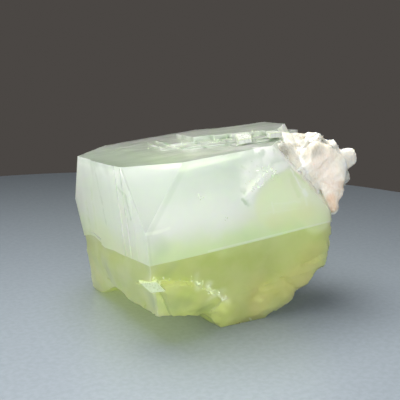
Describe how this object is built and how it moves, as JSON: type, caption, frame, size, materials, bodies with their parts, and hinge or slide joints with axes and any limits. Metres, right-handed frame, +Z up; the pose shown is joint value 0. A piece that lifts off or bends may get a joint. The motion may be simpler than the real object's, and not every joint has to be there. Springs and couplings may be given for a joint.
{
  "type": "apophyllite on stilbite",
  "caption": "Blocky translucent pale green apophyllite crystal with bevelled corners, a cleaved stepped top and a tuft of cream bladed stilbite grown on one end.",
  "frame": {"origin": "middle of the bounding box's underside, on the surface that the specimen rests on", "axes": "+Z up as it rests, +X along the crystal's front prism face towards the stilbite, +Y back into the crystal"},
  "size_m": [0.0572, 0.0444, 0.0388],
  "materials": {
    "apophyllite": "glassy pale green crystal, milky above and clearer green below",
    "stilbite": "cream to peach, pearly on the blade faces"
  },
  "bodies": {
    "root": {"apophyllite": "apophyllite", "stilbite": "stilbite"}
  },
  "joints": []
}
